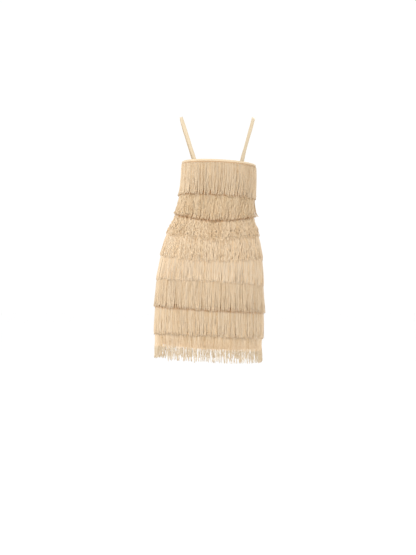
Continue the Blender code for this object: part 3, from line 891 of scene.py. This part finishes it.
def section_depth(x, height, side):
    """Y of the form's section at X, and its slope there."""
    line = read(GRID, np.linspace(0, 1, 361) + (0 if side > 0 else 1), np.full(361, height))
    if side < 0:
        line = line[::-1]
    near = np.interp([-(x + 0.002), -x, -(x - 0.002)], -line[:, 0], line[:, 1])
    return near[1], (near[0] - near[2]) / 0.004


def inside_cloth(x, height, side):
    depth, lean = section_depth(x, height, side)
    clear = CLOTH + SEAM + BINDING + SEAM + STRAP + 0.0007
    return depth - side * clear * math.hypot(1.0, lean)


def spline(points, count):
    points = np.array(points)
    run = np.concatenate([[0.0], np.cumsum(np.linalg.norm(np.diff(points, axis=0), axis=1))])
    slope = np.gradient(points, run, axis=0)
    at = np.linspace(0, run[-1], count)
    k = np.clip(np.searchsorted(run, at) - 1, 0, len(run) - 2)
    h = (run[k + 1] - run[k])[:, None]
    t = (at - run[k])[:, None] / h
    return (
        (2 * t**3 - 3 * t**2 + 1) * points[k]
        + (t**3 - 2 * t**2 + t) * h * slope[k]
        + (3 * t**2 - 2 * t**3) * points[k + 1]
        + (t**3 - t**2) * h * slope[k + 1]
    )


def strap_piece(strap, name):
    """A flat strap turned from a folded strip: soft edges, a faint crown and a row of stitches near each edge."""
    path = []
    for side, edge_x, drops in (
        (1, strap.back_x, (STRAP_TAIL, STRAP_TAIL / 2, 0.0)),
        (0, 0.0, ()),
        (-1, strap.front_x, (0.0, STRAP_TAIL / 2, STRAP_TAIL)),
    ):
        if side == 0:
            for row in STRAP_PATH:
                edge = strap.back_x if row.y >= 0 else strap.front_x
                x = edge + (strap.sign * SHOULDER_HALF_SPAN - edge) * row.lean
                path.append((x, row.y, row.height))
            continue
        line = TOP_EDGE.back if side > 0 else TOP_EDGE.front
        for drop in drops:
            x = edge_x - strap.sign * math.tan(math.radians(15)) * drop
            height = line + TOP_EDGE.tilt * x - drop
            path.append((x, inside_cloth(x, height, side), height))
    stations = 150
    middle = spline(path, stations)
    tangent = np.gradient(middle, axis=0)
    length = float(np.linalg.norm(np.diff(middle, axis=0), axis=1).sum())
    leans = {f: section_depth(strap.back_x if f > 0 else strap.front_x, -0.150, f)[1] for f in (1.0, -1.0)}
    lower, upper, outwards = [], [], []
    for here, along in zip(middle, tangent):
        along = along / np.linalg.norm(along)
        rise = max(0.0, min(1.0, 1.0 + here[2] / 0.115))
        rise = rise * rise * (3 - 2 * rise)
        facing = 1.0 if here[1] > 0 else -1.0
        flat = np.array([-leans[facing] * facing, facing, 0.10])
        flat /= np.linalg.norm(flat)
        away = flat * (1 - rise) + np.array([strap.sign * 0.25, here[1] * 6, 1.10]) * rise
        across = np.cross(along, away)
        across = across / np.linalg.norm(across) * (STRAP_WIDTH / 2 - 0.0002)
        pair = [here - across, here + across]
        for p in pair:
            edge = (TOP_EDGE.back if facing > 0 else TOP_EDGE.front) + TOP_EDGE.tilt * p[0]
            near = min(1.0, max(0.0, (edge + 0.012 - p[2]) / 0.0095))
            near = near * near * (3 - 2 * near)
            if near > 0:
                p[1] += (inside_cloth(p[0], p[2], facing) - p[1]) * near
        out = np.cross(pair[1] - pair[0], along)
        out /= np.linalg.norm(out)
        if np.dot(out, away) < 0:
            out = -out
        lower.append(pair[0])
        upper.append(pair[1])
        outwards.append(out)
    lower, upper, outwards = map(np.array, (lower, upper, outwards))
    # The section: place across from -1 to 1, and height off the inner face.
    section = [(-0.96, 0.0001), (-1.0, 0.0005), (-0.985, 0.0010), (-0.93, 0.00135), (-0.80, 0.0015), (-0.74, 0.00136),
               (-0.66, 0.0015), (-0.35, 0.00162), (0.0, 0.00166), (0.35, 0.00162), (0.66, 0.0015), (0.74, 0.00136),
               (0.80, 0.0015), (0.93, 0.00135), (0.985, 0.0010), (1.0, 0.0005), (0.96, 0.0001), (0.5, 0.0), (-0.5, 0.0)]
    run = np.linspace(0, length, stations)
    pucker = 0.00010 * np.sin(run * 900) + 0.00007 * np.sin(run * 1433 + 1)
    wobble = (0.00020 * np.sin(run * 61 + strap.sign) + 0.00014 * np.sin(run * 140 + 2))[:, None]
    centre, half = (lower + upper) / 2, (upper - lower) / 2
    unit = half / np.linalg.norm(half, axis=1, keepdims=True)
    ring = []
    for place, high in section:
        lift = high * 0.93 + (pucker if 0.6 < abs(place) < 0.95 and high > 0.001 else 0 * pucker)
        ring.append(centre + half * place + unit * wobble + outwards * lift[:, None])
    grid = np.stack(ring, 1)
    rows, cols = grid.shape[:2]
    index = np.arange(rows * cols).reshape(rows, cols)
    nxt = np.roll(index, -1, axis=1)
    quads = np.stack([index[:-1], nxt[:-1], nxt[1:], index[1:]], -1).reshape(-1, 4)
    ends = np.stack([index[0, ::-1], index[-1]])
    # Keep faces turned outwards.
    first = grid[1, 8] - grid[0, 8]
    turn = np.dot(np.cross(grid[0, 9] - grid[0, 8], first), outwards[0])
    if turn < 0:
        quads, ends = quads[:, ::-1], ends[:, ::-1]
    along_v = 0.01 + 0.95 * np.arange(rows) / (rows - 1)
    wide = np.linalg.norm(np.diff(np.concatenate([grid[0], grid[0][:1]]), axis=0), axis=1)
    over_u = 0.02 + 0.96 * np.concatenate([[0], np.cumsum(wide)]) / wide.sum()
    quv = np.zeros((rows - 1, cols, 4, 2))
    quv[..., 0, 0] = over_u[:-1]; quv[..., 0, 1] = along_v[:-1, None]
    quv[..., 1, 0] = over_u[1:]; quv[..., 1, 1] = along_v[:-1, None]
    quv[..., 2, 0] = over_u[1:]; quv[..., 2, 1] = along_v[1:, None]
    quv[..., 3, 0] = over_u[:-1]; quv[..., 3, 1] = along_v[1:, None]
    if turn < 0:
        quv = quv[..., ::-1, :]
    loop = np.arange(cols) / cols * 2 * math.pi
    cap = np.stack([0.5 + 0.3 * np.cos(loop), 0.980 + 0.012 * np.sin(loop)], -1)
    caps = np.stack([cap[::-1], cap])
    if turn < 0:
        caps = caps[:, ::-1]
    piece = build_mesh(name, grid.reshape(-1, 3), [quads, ends], [quv, caps])
    piece.data.materials.append(knit_material(name + "_tape", STRAP_TONE, (0.027, length), rib=0.0007, spread=0.07, sheen=0.15, rough=0.5))
    # Stitches near both edges, which show on both faces, and two rows across each sewn end.
    def on_strap(along, place, high):
        line = centre + half * place + unit * wobble + outwards * high
        return np.stack([np.interp(along, run, line[:, i]) for i in range(3)], -1)

    bars = []
    starts = np.arange(0.004, length - 0.006, 0.0032)
    for high in (0.00142, -0.00002):
        normal = np.stack([np.interp(starts, run, outwards[:, i]) for i in range(3)], -1)
        for place in (-0.75, 0.75):
            bars.append((on_strap(starts, place, high), on_strap(starts + 0.0021, place, high), normal))
    rows_across = np.array([0.0030, 0.0105, length - 0.0105, length - 0.0030])
    normal = np.stack([np.interp(rows_across, run, outwards[:, i]) for i in range(3)], -1)
    for place in (-0.68, -0.20, 0.28):
        bars.append((on_strap(rows_across, place, -0.00002), on_strap(rows_across, place + 0.40, -0.00002), normal))
    sewn = bars_mesh(name + "_stitches", bars, 0.00017, STITCH_TONE)
    return adopt(piece, "trim", strap.node), adopt(sewn, "trim"), length


# ------------------------------------------------------------------ stage, light and camera
def soft_light(name, place, aim, size, power, colour=(1, 1, 1)):
    data = bpy.data.lights.new(name, "AREA")
    data.shape = "DISK"
    data.size = size
    data.energy = power
    data.color = colour
    lamp = bpy.data.objects.new(name, data)
    bpy.context.scene.collection.objects.link(lamp)
    lamp.location = place
    direction = np.array(aim, float) - np.array(place, float)
    from mathutils import Vector

    lamp.rotation_euler = Vector(direction).to_track_quat("-Z", "Y").to_euler()
    return lamp


def make_stage():
    bpy.ops.mesh.primitive_plane_add(size=60, location=(0, 0, -1.50))
    floor = bpy.context.object
    floor.name = "floor"
    made, tree, shader = new_material("pale_floor", 0.9, specular=0.1)
    shader.inputs["Base Color"].default_value = (0.985, 0.985, 0.985, 1)
    floor.data.materials.append(made)
    world = bpy.data.worlds.new("studio")
    bpy.context.scene.world = world
    world.use_nodes = True
    world.node_tree.nodes["Background"].inputs["Color"].default_value = (1, 1, 1, 1)
    world.node_tree.nodes["Background"].inputs["Strength"].default_value = 1.02
    aim = (0.02, 0.0, -0.5)
    soft_light("key", (2.1, 2.5, 2.3), aim, 1.1, 80)
    soft_light("fill", (-2.2, 2.6, 0.6), aim, 1.8, 8)
    soft_light("front_key", (-1.1, -3.1, 2.3), aim, 1.1, 76)
    soft_light("front_fill", (1.2, -3.2, 0.6), aim, 1.8, 12)
    bpy.context.scene.view_settings.view_transform = "Standard"


def make_camera():
    data = bpy.data.cameras.new("camera")
    data.lens = 84.6
    data.sensor_width = 36
    camera = bpy.data.objects.new("camera", data)
    bpy.context.scene.collection.objects.link(camera)
    camera.location = (0.0323, 4.5, -0.552)
    camera.rotation_euler = (math.radians(90), 0, math.radians(180))
    bpy.context.scene.camera = camera


# ------------------------------------------------------------------ the dress
make_stage()
make_camera()
back, _ = panel_piece("underdress_back", "back_panel", 0.0)
front, _ = panel_piece("underdress_front", "front_panel", 1.0)
rows = [fringe_piece(k) for k in range(len(TIPS))]
back_edge = binding_piece("back_edge", "back_binding", 0.0)
front_edge = binding_piece("front_edge", "front_binding", 1.0)
stitches = adopt(bars_mesh("edge_and_hem_stitches", stitch_rows(), 0.00020, STITCH_TONE), "trim")
straps = [strap_piece(each, name) for each, name in zip(STRAPS, ("shoulder_strap_left", "shoulder_strap_right"))]
